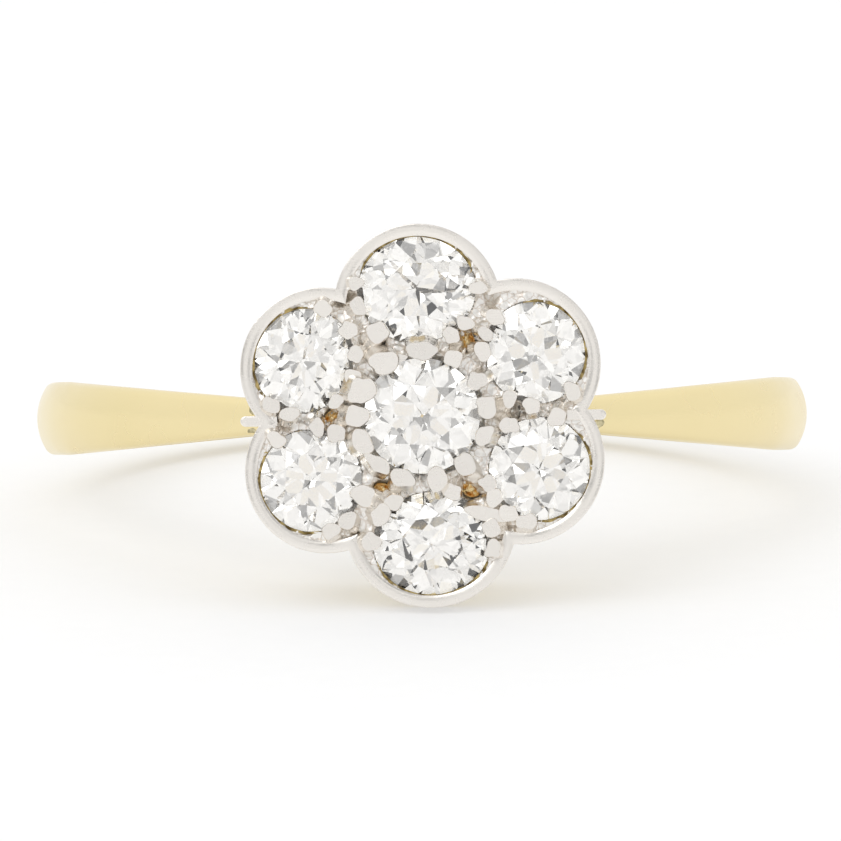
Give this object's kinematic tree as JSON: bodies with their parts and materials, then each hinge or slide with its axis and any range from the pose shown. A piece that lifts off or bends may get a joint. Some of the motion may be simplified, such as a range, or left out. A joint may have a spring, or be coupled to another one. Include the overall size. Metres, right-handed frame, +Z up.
{
  "type": "cluster ring",
  "caption": "Daisy cluster ring: a ring of old-cut stones round a centre stone, claw-set in a scalloped white metal head on a narrow yellow gold shank with an open gallery.",
  "frame": {"origin": "on the surface that the ring lies on, under the middle of its overall box", "axes": "+X across the shank, to the right as the head is looked at; the head faces -Y and is raised by the resting tilt; +Z up, close to the finger's axis"},
  "size_m": [0.0198, 0.0231, 0.0094],
  "materials": {
    "yellow_gold": "polished 18 carat yellow gold, worn fine scratches",
    "platinum": "polished platinum on rim and claws, tool-marked between the stones",
    "diamond": "old-cut near-colourless diamond, polished"
  },
  "bodies": {
    "root": {"shank": "yellow_gold", "setting": "platinum", "centre_stone": "diamond", "petal_stone_1": "diamond", "petal_stone_2": "diamond", "petal_stone_3": "diamond", "petal_stone_4": "diamond", "petal_stone_5": "diamond", "petal_stone_6": "diamond"}
  },
  "joints": []
}
